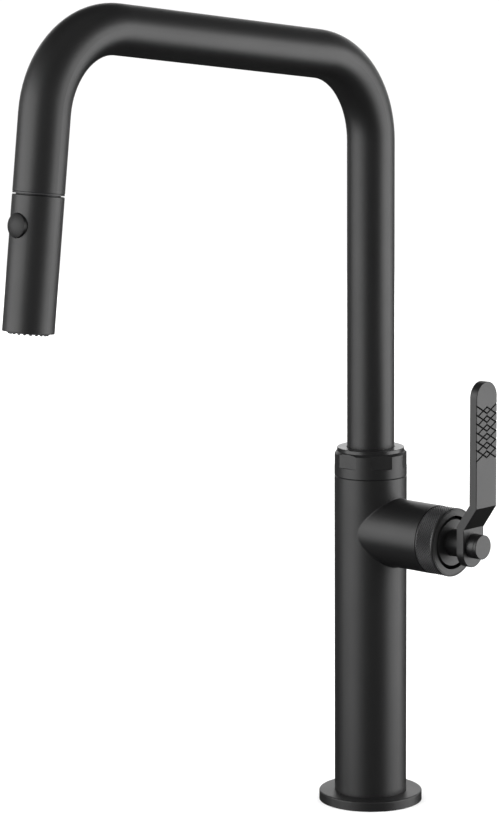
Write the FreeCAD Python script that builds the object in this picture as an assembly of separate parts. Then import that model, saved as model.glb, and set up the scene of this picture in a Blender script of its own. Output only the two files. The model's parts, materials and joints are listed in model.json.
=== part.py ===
"""Pull-down kitchen faucet: deck-mounted body, swivelling high-arc spout, side lever and spray head.

The origin is the centre of the base flange's underside, on the deck. +Z is up, the spout reaches
towards -Y and the lever stands on the +X side. Millimetres.
"""
import FreeCAD
import Part
import math
import os
from FreeCAD import Placement, Rotation, Vector

# ---------------------------------------------------------------- driving dimensions (mm, degrees)
# spout tube and its path
TUBE_OD = 25.4
TUBE_WALL = 1.2
COLUMN_TOP = 360.0          # height where the straight column ends and the first bend starts
BEND_1_R = 48.0
BEND_2_R = 44.0
ARM_LENGTH = 146.0
ARM_RISE = 7.0              # the arm climbs away from the column by this angle
LEG_TILT = 7.0              # the leg leans outwards from plumb by this angle
LEG_LENGTH = 38.5

# swivel journal, from the tube outwards
JOURNAL_WALL = 3.72         # brass between the tube and the bearing
JOURNAL_LEDGE = 1.2         # ledge under the tube's foot
JOURNAL_FLANGE_H = 3.0
JOURNAL_FLANGE_DROP = 4.0   # flange's underside below the body's top
BEARING_DEPTH = 15.0        # bearing floor below the body's top
BEARING_LEDGE = 1.5
TUBE_SEAT_RISE = 6.0        # tube's foot above the bearing floor
LOWER_GLIDE_H = 2.5
UPPER_GLIDE_H = 1.5
RING_CORD_R = 0.85          # radius of the swivel O-rings' cord
RING_RISES = (4.6, 8.2)     # swivel O-rings above the bearing floor
GUIDE_LENGTH = 16.0

# body
BODY_HEIGHT = 180.0         # underside of the flange to the collar's seam
BODY_LIP_WALL = 1.3         # body outside the collar's skirt
FLANGE_REACH = 8.5          # flange beyond the body, all round
FLANGE_HEIGHT = 5.4
FLANGE_SEAT = 3.0           # height of the ledge that the body's foot stands on
FLANGE_ROUND = 0.8
GASKET_INSET = 3.5
GASKET_WIDTH = 3.5
GASKET_H = 1.6
SHANK_STEP = 1.0            # shank's outside beyond the body's bore, where it is seated
SHANK_WALL = 1.7
SHANK_BELOW = 58.0          # length of thread below the deck
SHANK_INSERTED = 15.0

# collar over the swivel joint
COLLAR_HEIGHT = 13.4
COLLAR_CHAMFER = 1.2
COLLAR_SKIRT = 5.0
COLLAR_STEP = 0.4
SKIRT_WALL = 1.7
SEAM_CHAMFER = 0.3          # on both edges of the collar's seam
FLAT_COUNT = 6
FLAT_DEPTH = 0.9
FLAT_HEIGHT = 8.0
TRIM_RING_INSET = 1.4
TRIM_RING_RISE = 2.0
TRIM_RING_SEAT = 2.4

# side valve
VALVE_DROP = 29.5           # valve's axis below the body's top
VALVE_SEAT_STEP = 0.5       # valve's seat beyond the body's side
VALVE_DEPTH = 38.7          # valve's seat to its face
VALVE_WALL = 2.0
JUNCTION_ROUND = 0.8
KNURL_LENGTH = 11.2
KNURL_WALL = 1.0
BEZEL_LENGTH = 0.8
BEZEL_WIDTH = 4.0
BEZEL_CHAMFER = 0.4
BEZEL_SKIRT = 8.0
BEZEL_GROOVE_INSET = 1.1
BEZEL_GROOVE = 0.35         # width and depth of the fine groove in the face
PIVOT_DEPTH = 8.0           # lever pivot behind the valve's face
PORT_CIRCLE_R = 8.0
PORT_R = 2.0
SEAL_H = 1.0
BLOCK_HEIGHT = 37.0         # waterway block below the bearing floor
INLET_WALL = 0.85
INLET_DEPTH = 12.0

# cartridge
CARTRIDGE_R = 16.1
HOUSING_WALL = 2.3
HOUSING_FLOOR = 7.0         # valve's seat to the fixed disc
HOUSING_CAVITY = 16.0
DISC_THICKNESS = 3.0
DISC_ROOM = 3.8             # moving disc's rim to the cavity's wall
DISC_HOLLOW_R = 5.0
DISC_REST_OFFSET = -1.7
CARRIER_H = 2.0
DRIVE_ARM = 9.2             # lever pivot to the ball that drives the moving disc
DRIVE_BALL_R = 2.5
CARTRIDGE_NUT_H = 4.2
ROTOR_SHOULDER = 2.2
SLIDER_Y = 5.5
SLIDER_ROOM = 4.6           # slider's end inside the rotor's neck
PIN_R = 1.5
PIN_HALF = 8.0
EAR_HALF = 3.5
DRIVE_BAR_HALF = 3.0
DRIVE_NECK_R = 1.6
HUB_BAR_REACH = 11.3        # drive bar beyond the pivot

# lever
HUB_RIM_ANGLE = 80.0        # how far round from the axis the cover reaches
HUB_OVERLAP = 0.2           # cover's radius beyond the bezel's opening
HUB_WALL = 1.5
HUB_FACE_SUNK = 0.4         # flat front of the cover behind the bezel's face
STEM_R = 7.2
LEVER_THICKNESS = 4.6
LEVER_WIDTH = 16.6
LEVER_STANDOFF = 13.3       # valve's face to the outer face of the lower plate
LEVER_BELOW = 11.5          # lever below and above the valve's axis
LEVER_ABOVE = 88.2
LEVER_CHAMFER = 0.25
CRANK_STEP = 8.5            # upright blade beyond the lower plate
CRANK_RISE = 9.5            # lower bend above the valve's axis
CRANK_HEIGHT = 12.2
CAP_R = 6.5
CAP_LENGTH = 6.6
CAP_FLOOR = 2.0
SPIGOT_R = 4.5
GRUB_R = 1.2
GRUB_INSET = 2.2            # grub screw's axis from the cap's inner face
DIAMOND_COUNT = 6
DIAMOND_PITCH = 4.65
DIAMOND_HEIGHT = 3.35
DIAMOND_DROP = 40.0         # lowest diamond below the lever's top
GROOVE_WIDTH = 0.9
GROOVE_DEPTH = 0.45

# spray hose and its end, in places along the leg from the head's joint
HOSE_OD = 11.6
HOSE_BORE_R = 3.6
HOSE_ROOM = 0.8             # waterway block's bore round the hose
HOSE_BELOW = 4.0            # hose drawn beyond the shank's foot
HOSE_END_U = -12.0
FERRULE_WALL = 0.8
FERRULE_GRIP = 6.0
FERRULE_END_U = -5.0
NIPPLE_STEP = 0.8
NIPPLE_RING_U = 6.3
NIPPLE_CORD_R = 0.73
NIPPLE_END_U = 8.0
SHOULDER_U = 2.0
SHOULDER_H = 2.0

# spray head, flush with the tube
HEAD_WALL = 1.6
HEAD_LENGTH = 66.4
HEAD_GAP = 0.5
HEAD_TOP_ROUND = 0.5
HEAD_FOOT_ROUND = 0.3
HEAD_SEAT_WIDTH = 2.0       # raised seat on the head's top that meets the dock
HEAD_SEAT_GAP = 0.12
NOSE_WALL = 2.0
NOSE_REACH = 19.0           # how far the docking nose reaches up into the spout
PLATE_H = 3.5
DOCK_RING_STEP = 0.1        # ring inside the tube's outside, all round
DOCK_RING_H = 1.0
DOCK_RING_CHAMFER = 0.25
DOCK_DEPTH = 27.0
DOCK_HEADROOM = 1.5         # dock's ceiling above the nose
DOCK_WEB = 1.0
MAGNET_H = 3.5
MAGNET_SEAT = 3.0           # magnet's bore outside the hose
BUTTON_R = 5.85
BUTTON_DROP = 15.5          # button axis below the joint
BUTTON_PROUD = 2.2
BUTTON_RIM_PROUD = 0.6
BUTTON_SUNK = 2.1           # underside of the button below the head's side
BUTTON_TRAVEL = 1.5
POCKET_DEPTH = 4.4
SPOOL_R = 2.6
SPOOL_END = -6.0
SPRING_WIRE_R = 0.28
SPRING_TURNS = 3
CHANNEL_R = 2.2
CHAMBER_WALL = 3.1
CHAMBER_H = 12.0
CHECK_R = 4.2
CHECK_U = 22.0
CHECK_LENGTH = 8.0
CORE_GASKET_H = 1.5
DIFFUSER_H = 10.5
DIFFUSER_WALL = 1.6
PLATE_THICKNESS = 4.4
PAD_DEPTH = 2.0             # pad's back inside the head's rim
PAD_SUNK = 0.5
PAD_LIP_INSET = 0.9         # raised middle of the nozzle pad
PAD_LIP_H = 0.5
AERATOR_R = 6.0
AERATOR_HOLE_R = 0.9
AERATOR_HOLE_CIRCLE_R = 3.4
NUB_COUNT = 20
NUB_R = 0.75
NUB_HEIGHT = 1.1
NUB_INSET = 1.9
JET_R = 0.3

# hardware below the deck
DECK_GRIP = 30.0            # underside of the flange to the clamp washer
WASHER_H = 2.0
WASHER_REACH = 11.0
NUT_REACH = 9.0
NUT_HEIGHT = 10.0
NOTCH_R = 2.6
NOTCH_COUNT = 8
SCREW_R = 2.5
SCREW_HEAD_R = 3.9
SCREW_HEAD_H = 3.0
SCREW_BELOW = 6.0           # screw shank below the nut
SCREW_OFFSET = 4.8

# fits
FIT = 0.1                   # threaded or pressed seats, per side
RUN = 0.08                  # turning and sliding fits, per side
CLEAR = 0.3                 # open gaps between pieces that move past each other

# worked out: radii, from the tube outwards
TUBE_R = TUBE_OD / 2
TUBE_BORE_R = TUBE_R - TUBE_WALL
JOURNAL_R = TUBE_R + JOURNAL_WALL
UPPER_BORE_R = JOURNAL_R + RUN
BODY_BORE_R = UPPER_BORE_R - BEARING_LEDGE
SHANK_R = BODY_BORE_R + SHANK_STEP
COLLAR_BORE_R = UPPER_BORE_R + COLLAR_STEP
SKIRT_R = UPPER_BORE_R + SKIRT_WALL
BODY_R = SKIRT_R + BODY_LIP_WALL
TRIM_RING_R = BODY_R - TRIM_RING_INSET
FLANGE_R = BODY_R + FLANGE_REACH
WASHER_R = SHANK_R + WASHER_REACH
NUT_R = SHANK_R + NUT_REACH
SCREW_CIRCLE_R = SHANK_R + SCREW_OFFSET

# worked out: heights
COLLAR_TOP = BODY_HEIGHT + COLLAR_HEIGHT
JOURNAL_FLOOR = BODY_HEIGHT - BEARING_DEPTH
JOURNAL_FLANGE_Z = BODY_HEIGHT - JOURNAL_FLANGE_DROP
JOURNAL_FLANGE_TOP = JOURNAL_FLANGE_Z + JOURNAL_FLANGE_H
JOURNAL_RING_Z = [JOURNAL_FLOOR + rise for rise in RING_RISES]
TUBE_SEAT_Z = JOURNAL_FLOOR + TUBE_SEAT_RISE
VALVE_Z = BODY_HEIGHT - VALVE_DROP
LEVER_BOTTOM_Z = VALVE_Z - LEVER_BELOW
LEVER_TOP_Z = VALVE_Z + LEVER_ABOVE
CRANK_LOW_Z = VALVE_Z + CRANK_RISE
CRANK_HIGH_Z = CRANK_LOW_Z + CRANK_HEIGHT
DIAMOND_LOW_Z = LEVER_TOP_Z - DIAMOND_DROP
NUT_TOP = -DECK_GRIP - 2 * WASHER_H

# worked out: side valve, cartridge and lever
CAVITY_R = CARTRIDGE_R - HOUSING_WALL
DISC_R = CAVITY_R - DISC_ROOM
ROTOR_NECK_R = CAVITY_R - ROTOR_SHOULDER
SLIDER_Z = ROTOR_NECK_R - SLIDER_ROOM
VALVE_BORE_R = CARTRIDGE_R + 2 * FIT
VALVE_R = VALVE_BORE_R + VALVE_WALL
BEZEL_OPENING_R = VALVE_R - BEZEL_WIDTH
BEZEL_GROOVE_R = VALVE_R - BEZEL_GROOVE_INSET
HUB_R = BEZEL_OPENING_R + HUB_OVERLAP
VALVE_SEAT_X = BODY_R + VALVE_SEAT_STEP
VALVE_FACE_X = VALVE_SEAT_X + VALVE_DEPTH
BOSS_END_X = VALVE_FACE_X - BEZEL_LENGTH
KNURL_LOW_X = BOSS_END_X - KNURL_LENGTH
FIXED_DISC_X = VALVE_SEAT_X + HOUSING_FLOOR
CARRIER_X = FIXED_DISC_X + 2 * DISC_THICKNESS
NUT_LOW_X = FIXED_DISC_X + HOUSING_CAVITY
PIVOT_X = VALVE_FACE_X - PIVOT_DEPTH
BALL_X = PIVOT_X - DRIVE_ARM
SLIDER_END_X = BALL_X + 1.6
HUB_BAR_END = PIVOT_X + HUB_BAR_REACH
LEVER_LOW_X = VALVE_FACE_X + LEVER_STANDOFF
LEVER_HIGH_X = LEVER_LOW_X + CRANK_STEP
GRUB_X = LEVER_LOW_X + GRUB_INSET

# worked out: hose and spray head
HOSE_R = HOSE_OD / 2
FERRULE_R = HOSE_R + FERRULE_WALL
NIPPLE_R = HOSE_R - NIPPLE_STEP
NOSE_BORE_R = FERRULE_R + CLEAR
NOSE_R = NOSE_BORE_R + NOSE_WALL
DOCK_BORE_R = NOSE_R + CLEAR
DOCK_RING_R = TUBE_R - DOCK_RING_STEP
DOCK_CEILING_U = -NOSE_REACH - DOCK_HEADROOM
MAGNET_R = HOSE_R + MAGNET_SEAT
BLOCK_BORE_R = HOSE_R + HOSE_ROOM
BLOCK_R = BODY_BORE_R - FIT
INLET_CIRCLE_R = (BLOCK_BORE_R + BLOCK_R) / 2
INLET_R = (BLOCK_R - BLOCK_BORE_R) / 2 - INLET_WALL
HEAD_R = TUBE_R
HEAD_BORE_R = HEAD_R - HEAD_WALL
HEAD_SEAT_R = NOSE_R + HEAD_SEAT_WIDTH
CORE_R = HEAD_BORE_R - FIT
CORE_TOP_U = SHOULDER_U + SHOULDER_H + 0.2
PAD_U = HEAD_LENGTH - PAD_DEPTH
PLATE_U = PAD_U - PLATE_THICKNESS
DIFFUSER_U = PLATE_U - DIFFUSER_H
CORE_FOOT_U = DIFFUSER_U - CORE_GASKET_H
CHAMBER_R = HEAD_BORE_R - CHAMBER_WALL
PAD_LIP_R = HEAD_BORE_R - PAD_LIP_INSET
NUB_CIRCLE_R = HEAD_BORE_R - NUB_INSET
POCKET_FLOOR = HEAD_R - POCKET_DEPTH
BUTTON_FLOOR = HEAD_R - BUTTON_SUNK

X_AXIS = Vector(1, 0, 0)
Y_AXIS = Vector(0, 1, 0)
Z_AXIS = Vector(0, 0, 1)
ORIGIN = Vector(0, 0, 0)


# ---------------------------------------------------------------- helpers
def lathe(profile):
    """Solid of revolution about Z from a closed outline of (radius, height) points."""
    points = [Vector(r, 0, z) for r, z in profile]
    points.append(points[0])
    face = Part.Face(Part.makePolygon(points))
    return face.revolve(ORIGIN, Z_AXIS, 360)


def ring(r_in, r_out, low, high):
    """Plain ring, or a disc where r_in is 0, between two heights."""
    return lathe([(r_in, low), (r_out, low), (r_out, high), (r_in, high)])


def rod(radius, start, direction, length):
    """Round bar from a point along a direction."""
    return Part.makeCylinder(radius, length, start, direction)


def block(x0, x1, y0, y1, z0, z1):
    """Box between two corners."""
    return Part.makeBox(x1 - x0, y1 - y0, z1 - z0, Vector(x0, y0, z0))


def torus(major, minor, height):
    """O-ring about Z at a height."""
    return Part.makeTorus(major, minor, Vector(0, 0, height), Z_AXIS)


def softened(solid, radius, wanted):
    """Round the edges that the test picks."""
    edges = [edge for edge in solid.Edges if wanted(edge)]
    return solid.makeFillet(radius, edges)


def circle_at(radius, height):
    """Test for round edges of one radius at one height about Z."""
    def test(edge):
        if not isinstance(edge.Curve, Part.Circle):
            return False
        centre = edge.Curve.Center
        same_place = abs(centre.z - height) < 0.01 and abs(centre.x) + abs(centre.y) < 0.01
        return same_place and abs(edge.Curve.Radius - radius) < 0.01
    return test


def as_single(shape):
    """The cleaned shape, as one solid where it is one."""
    cleaned = shape.removeSplitter()
    if len(cleaned.Solids) == 1:
        return cleaned.Solids[0]
    return cleaned


def on_valve(shape):
    """Move a piece built along Z onto the side valve's axis, where local Z is +X."""
    placed = shape.copy()
    placed.Placement = Placement(Vector(0, 0, VALVE_Z), Rotation(Y_AXIS, 90))
    return placed


# ---------------------------------------------------------------- the spout's centre line
def spout_line():
    """Corner points and bend middles of the tube's centre line, from the column to the leg's end."""
    rise = math.radians(ARM_RISE)
    tilt = math.radians(LEG_TILT)
    turn_1 = math.pi / 2 - rise
    turn_2 = math.pi / 2 + rise - tilt
    top = Vector(0, 0, COLUMN_TOP)

    def bend_1(angle):
        return top + Vector(0, -BEND_1_R * (1 - math.cos(angle)), BEND_1_R * math.sin(angle))

    arm = Vector(0, -math.cos(rise), math.sin(rise))
    down = Vector(0, -math.sin(rise), -math.cos(rise))
    arm_start = bend_1(turn_1)
    arm_end = arm_start + arm * ARM_LENGTH
    centre_2 = arm_end + down * BEND_2_R

    def bend_2(angle):
        return centre_2 - down * (BEND_2_R * math.cos(angle)) + arm * (BEND_2_R * math.sin(angle))

    leg = arm * math.cos(turn_2) + down * math.sin(turn_2)
    leg_start = bend_2(turn_2)
    leg_end = leg_start + leg * LEG_LENGTH
    return {
        "top": top, "bend_1_mid": bend_1(turn_1 / 2), "arm_start": arm_start, "arm_end": arm_end,
        "bend_2_mid": bend_2(turn_2 / 2), "leg_start": leg_start, "leg_end": leg_end, "leg": leg,
    }


LINE = spout_line()
HEAD_FRAME = Placement(LINE["leg_end"], Rotation(X_AXIS, LINE["leg"].cross(X_AXIS), LINE["leg"], "ZXY"))


def on_leg(shape):
    """Move a piece built along Z onto the leg, where local Z runs down it and local Y faces forward."""
    placed = shape.copy()
    placed.Placement = HEAD_FRAME.multiply(placed.Placement)
    return placed


def spout_path(bottom, end_shift):
    """Wire along the centre line from a height in the column to a place on the leg."""
    start = Vector(0, 0, bottom)
    end = LINE["leg_end"] + LINE["leg"] * end_shift
    edges = [
        Part.LineSegment(start, LINE["top"]).toShape(),
        Part.Arc(LINE["top"], LINE["bend_1_mid"], LINE["arm_start"]).toShape(),
        Part.LineSegment(LINE["arm_start"], LINE["arm_end"]).toShape(),
        Part.Arc(LINE["arm_end"], LINE["bend_2_mid"], LINE["leg_start"]).toShape(),
        Part.LineSegment(LINE["leg_start"], end).toShape(),
    ]
    return Part.Wire(edges)


def pipe(path, radius):
    """Round bar swept along a wire that starts upwards."""
    start = path.Edges[0].Vertexes[0].Point
    section = Part.Wire(Part.makeCircle(radius, start, Z_AXIS))
    return path.makePipeShell([section], True, False)


def tube_along(path, r_in, r_out):
    """Hollow tube swept along a wire."""
    return pipe(path, r_out).cut(pipe(path, r_in))


# ---------------------------------------------------------------- base and deck hardware
def base_flange():
    """Skirt that the body's foot stands in, with a groove below for the gasket."""
    shape = lathe([
        (SHANK_R + FIT, 0), (FLANGE_R, 0), (FLANGE_R, FLANGE_HEIGHT), (BODY_R + FIT, FLANGE_HEIGHT),
        (BODY_R + FIT, FLANGE_SEAT), (SHANK_R + FIT, FLANGE_SEAT),
    ])
    shape = softened(shape, FLANGE_ROUND, circle_at(FLANGE_R, FLANGE_HEIGHT))
    outer = FLANGE_R - GASKET_INSET
    return shape.cut(ring(outer - GASKET_WIDTH, outer, -1.0, GASKET_H))


def deck_gasket():
    outer = FLANGE_R - GASKET_INSET
    return ring(outer - GASKET_WIDTH + FIT, outer - FIT, 0.0, GASKET_H)


def mounting_shank():
    top = FLANGE_SEAT + SHANK_INSERTED
    shape = ring(SHANK_R - SHANK_WALL, SHANK_R, -SHANK_BELOW, top)
    return softened(shape, 0.6, circle_at(SHANK_R, -SHANK_BELOW))


def washer(top):
    """Flat washer on the shank, its upper face at a height."""
    return ring(SHANK_R + CLEAR, WASHER_R, top - WASHER_H, top)


def on_circle(count, radius, height):
    """Places spread evenly round a circle about Z."""
    places = []
    for index in range(count):
        angle = 2 * math.pi * index / count
        places.append(Vector(radius * math.cos(angle), radius * math.sin(angle), height))
    return places


def mounting_nut():
    foot = NUT_TOP - NUT_HEIGHT
    shape = ring(SHANK_R + FIT, NUT_R, foot, NUT_TOP)
    for place in on_circle(NOTCH_COUNT, NUT_R, foot):
        shape = shape.cut(rod(NOTCH_R, place, Z_AXIS, NUT_HEIGHT - 2.0))
    for side in (-1, 1):
        hole = rod(SCREW_R + FIT, Vector(0, side * SCREW_CIRCLE_R, foot), Z_AXIS, NUT_HEIGHT)
        shape = shape.cut(hole)
    return shape


def clamp_screws():
    """Two screws through the nut that press the steel washer against the deck."""
    screws = []
    for side in (-1, 1):
        centre = Vector(0, side * SCREW_CIRCLE_R, NUT_TOP - NUT_HEIGHT - SCREW_BELOW)
        foot = centre.z - SCREW_HEAD_H
        shank = rod(SCREW_R, centre, Z_AXIS, NUT_HEIGHT + SCREW_BELOW)
        head = rod(SCREW_HEAD_R, Vector(0, centre.y, foot), Z_AXIS, SCREW_HEAD_H)
        slot = block(-0.5, 0.5, centre.y - 4.0, centre.y + 4.0, foot, foot + 1.2)
        screws.append(shank.fuse(head).cut(slot).removeSplitter())
    return Part.makeCompound(screws)


# ---------------------------------------------------------------- body
def port_points():
    """Places of the three water ports on the valve seat, as (y, z), the mixed one on top."""
    return [(place.y, VALVE_Z + place.x) for place in on_circle(3, PORT_CIRCLE_R, 0)]


def body_shell():
    column = lathe([
        (0, FLANGE_SEAT), (BODY_R, FLANGE_SEAT), (BODY_R, BODY_HEIGHT - SEAM_CHAMFER),
        (BODY_R - SEAM_CHAMFER, BODY_HEIGHT), (0, BODY_HEIGHT),
    ])
    boss = on_valve(ring(0, VALVE_R, 0, BOSS_END_X))
    shape = column.fuse(boss)
    joint = []
    for edge in shape.Edges:
        box = edge.BoundBox
        between = box.XMin > 1.0 and box.XMax < BODY_R + 0.01
        if between and not isinstance(edge.Curve, (Part.Line, Part.Circle)):
            joint.append(edge)
    shape = shape.makeFillet(JUNCTION_ROUND, joint)
    shank_seat = ring(0, SHANK_R + FIT, FLANGE_SEAT - 1, FLANGE_SEAT + SHANK_INSERTED)
    bore = ring(0, BODY_BORE_R, FLANGE_SEAT, BODY_HEIGHT)
    upper = ring(0, UPPER_BORE_R, JOURNAL_FLOOR, BODY_HEIGHT)
    counterbore = ring(0, SKIRT_R + FIT, BODY_HEIGHT - COLLAR_SKIRT, BODY_HEIGHT + 1)
    cavity = on_valve(ring(0, VALVE_BORE_R, VALVE_SEAT_X, VALVE_FACE_X))
    knurl_seat = on_valve(ring(VALVE_R - KNURL_WALL, VALVE_R + 1, KNURL_LOW_X, VALVE_FACE_X))
    for tool in (shank_seat, bore, upper, counterbore, cavity, knurl_seat):
        shape = shape.cut(tool)
    for y, z in port_points():
        shape = shape.cut(rod(PORT_R, Vector(BODY_BORE_R - 3, y, z), X_AXIS, VALVE_SEAT_X))
    return as_single(shape)


def waterway_block():
    """Brass block in the body that joins the hot, cold and mixed sockets to the valve's ports."""
    low = JOURNAL_FLOOR - BLOCK_HEIGHT
    shape = ring(BLOCK_BORE_R, BLOCK_R, low, JOURNAL_FLOOR)
    for y, z in port_points():
        x = math.sqrt(INLET_CIRCLE_R ** 2 - y ** 2)
        socket = rod(INLET_R, Vector(x, y, low), Z_AXIS, INLET_DEPTH)
        riser = rod(PORT_R - 0.2, Vector(x, y, low), Z_AXIS, z - low)
        cross = rod(PORT_R - 0.2, Vector(x, y, z), X_AXIS, BODY_BORE_R)
        shape = shape.cut(socket).cut(riser).cut(cross)
    return as_single(shape)


def collar():
    """Cap nut with a skirt in the body: it holds the journal down and carries the wrench flats."""
    base = BODY_HEIGHT
    lip = JOURNAL_FLANGE_TOP + UPPER_GLIDE_H
    skirt_foot = BODY_HEIGHT - COLLAR_SKIRT
    seat_r = TRIM_RING_R + FIT
    seat_z = COLLAR_TOP - TRIM_RING_SEAT
    shape = lathe([
        (COLLAR_BORE_R, skirt_foot), (SKIRT_R, skirt_foot), (SKIRT_R, base),
        (BODY_R - SEAM_CHAMFER, base), (BODY_R, base + SEAM_CHAMFER),
        (BODY_R, COLLAR_TOP - COLLAR_CHAMFER), (BODY_R - COLLAR_CHAMFER, COLLAR_TOP),
        (seat_r, COLLAR_TOP), (seat_r, seat_z), (TUBE_R + CLEAR, seat_z), (TUBE_R + CLEAR, lip),
        (COLLAR_BORE_R, lip),
    ])
    for index in range(FLAT_COUNT):
        cutter = block(BODY_R - FLAT_DEPTH, BODY_R + 2, -BODY_R, BODY_R, COLLAR_TOP - FLAT_HEIGHT,
                       COLLAR_TOP + 1)
        cutter.rotate(ORIGIN, Z_AXIS, 360.0 / FLAT_COUNT * (index + 0.5))
        shape = shape.cut(cutter)
    return as_single(shape)


def trim_ring():
    top = COLLAR_TOP + TRIM_RING_RISE
    shape = ring(TUBE_R + CLEAR, TRIM_RING_R, COLLAR_TOP - TRIM_RING_SEAT, top)
    return softened(shape, 0.3, circle_at(TRIM_RING_R, top))


# ---------------------------------------------------------------- spout
def spout_tube():
    return tube_along(spout_path(TUBE_SEAT_Z, -DOCK_RING_H), TUBE_BORE_R, TUBE_R)


def spout_journal():
    """Brass sleeve brazed on the tube's foot: it turns in the body and the collar holds it down."""
    foot = JOURNAL_FLOOR + LOWER_GLIDE_H + RUN
    top = JOURNAL_FLANGE_TOP - RUN
    bore_r = TUBE_BORE_R - JOURNAL_LEDGE
    flange_r = COLLAR_BORE_R - 2 * FIT
    shape = lathe([
        (bore_r, foot), (JOURNAL_R, foot), (JOURNAL_R, JOURNAL_FLANGE_Z), (flange_r, JOURNAL_FLANGE_Z),
        (flange_r, top), (TUBE_R, top), (TUBE_R, TUBE_SEAT_Z), (bore_r, TUBE_SEAT_Z),
    ])
    half = RING_CORD_R + FIT
    for height in JOURNAL_RING_Z:
        shape = shape.cut(ring(JOURNAL_R - 2 * RING_CORD_R, JOURNAL_R + 1, height - half, height + half))
    return shape


def journal_rings():
    major = UPPER_BORE_R - RUN / 2 - RING_CORD_R
    return Part.makeCompound([torus(major, RING_CORD_R, height) for height in JOURNAL_RING_Z])


def lower_glide():
    return ring(TUBE_BORE_R - 0.5, UPPER_BORE_R - FIT, JOURNAL_FLOOR, JOURNAL_FLOOR + LOWER_GLIDE_H)


def upper_glide():
    low = JOURNAL_FLANGE_TOP
    return ring(TUBE_R + CLEAR, COLLAR_BORE_R - FIT, low, low + UPPER_GLIDE_H)


def hose_guide():
    """Plastic bush that keeps the hose in the middle of the column's foot."""
    return ring(HOSE_R + 0.6, TUBE_BORE_R - FIT, TUBE_SEAT_Z, TUBE_SEAT_Z + GUIDE_LENGTH)


def dock_bush():
    """Plastic bush in the spout's end: its lip is the ring that shows, its bore guides the nose."""
    shape = lathe([
        (DOCK_BORE_R, 0), (DOCK_BORE_R, DOCK_CEILING_U), (HOSE_R + 2.0, DOCK_CEILING_U),
        (HOSE_R + 2.0, -DOCK_DEPTH), (TUBE_BORE_R - FIT, -DOCK_DEPTH), (TUBE_BORE_R - FIT, -DOCK_RING_H),
        (DOCK_RING_R - DOCK_RING_CHAMFER, -DOCK_RING_H), (DOCK_RING_R, DOCK_RING_CHAMFER - DOCK_RING_H),
        (DOCK_RING_R, 0),
    ])
    top = DOCK_CEILING_U - DOCK_WEB
    return on_leg(shape.cut(ring(MAGNET_R, TUBE_BORE_R, top - MAGNET_H, top)))


def dock_magnet():
    top = DOCK_CEILING_U - DOCK_WEB
    return on_leg(ring(MAGNET_R + FIT, TUBE_BORE_R - FIT, top - MAGNET_H + FIT, top))


def spray_hose():
    """Nylon-sheathed hose from below the shank, up the column and down to the ferrule."""
    return tube_along(spout_path(-SHANK_BELOW - HOSE_BELOW, HOSE_END_U), HOSE_BORE_R, HOSE_R)


# ---------------------------------------------------------------- hose end
def hose_ferrule():
    """Crimped sleeve over the last of the hose."""
    shape = ring(HOSE_R, FERRULE_R, HOSE_END_U - FERRULE_GRIP, FERRULE_END_U)
    return on_leg(softened(shape, 0.3, circle_at(FERRULE_R, FERRULE_END_U)))


def hose_nipple():
    """Brass tail that the spray head turns on, with a shoulder that the union nut holds."""
    shoulder_r = FERRULE_R - 2 * FIT
    shape = lathe([
        (HOSE_BORE_R, HOSE_END_U), (HOSE_R - FIT, HOSE_END_U), (HOSE_R - FIT, FERRULE_END_U),
        (NIPPLE_R, FERRULE_END_U), (NIPPLE_R, SHOULDER_U), (shoulder_r, SHOULDER_U),
        (shoulder_r, SHOULDER_U + SHOULDER_H), (NIPPLE_R, SHOULDER_U + SHOULDER_H), (NIPPLE_R, NIPPLE_END_U),
        (HOSE_BORE_R, NIPPLE_END_U),
    ])
    half = NIPPLE_CORD_R + 0.17
    groove = ring(NIPPLE_R - 0.75, NIPPLE_R + 1, NIPPLE_RING_U - half, NIPPLE_RING_U + half)
    return on_leg(shape.cut(groove))


def nipple_ring():
    return on_leg(torus(NIPPLE_R, NIPPLE_CORD_R, NIPPLE_RING_U))


# ---------------------------------------------------------------- spray head
def button_bar(radius, start, end):
    """Bar across the head on the button's axis, between two distances from the head's axis."""
    return rod(radius, Vector(0, start, BUTTON_DROP), Y_AXIS, end - start)


def head_shell():
    """Sleeve of the spray head, closed at the top but for the nose and holed for the button."""
    shape = ring(0, HEAD_R, HEAD_GAP, HEAD_LENGTH)
    shape = softened(shape, HEAD_TOP_ROUND, circle_at(HEAD_R, HEAD_GAP))
    shape = softened(shape, HEAD_FOOT_ROUND, circle_at(HEAD_R, HEAD_LENGTH))
    shape = shape.fuse(ring(0, HEAD_SEAT_R, HEAD_SEAT_GAP, CORE_TOP_U))
    shape = shape.cut(ring(0, HEAD_BORE_R, CORE_TOP_U - FIT, HEAD_LENGTH + 1))
    shape = shape.cut(ring(0, NOSE_R + FIT, 0, CORE_TOP_U))
    return on_leg(shape.cut(button_bar(BUTTON_R + CLEAR, 0, HEAD_R + 5)))


def docking_nose():
    """Sleeve of the spray head that slides up into the dock, open for the hose's ferrule."""
    return on_leg(ring(NOSE_BORE_R, NOSE_R, PLATE_H - NOSE_REACH, CORE_TOP_U))


def nose_magnet_plate():
    low = -NOSE_REACH
    shape = ring(NOSE_BORE_R, NOSE_R, low, low + PLATE_H)
    return on_leg(softened(shape, 0.6, circle_at(NOSE_R, low)))


def union_nut():
    """Ring in the nose that holds the nipple's shoulder and lets it turn."""
    return on_leg(ring(NIPPLE_R + CLEAR, NOSE_BORE_R - FIT, SHOULDER_U - 4.0, SHOULDER_U - RUN))


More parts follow.
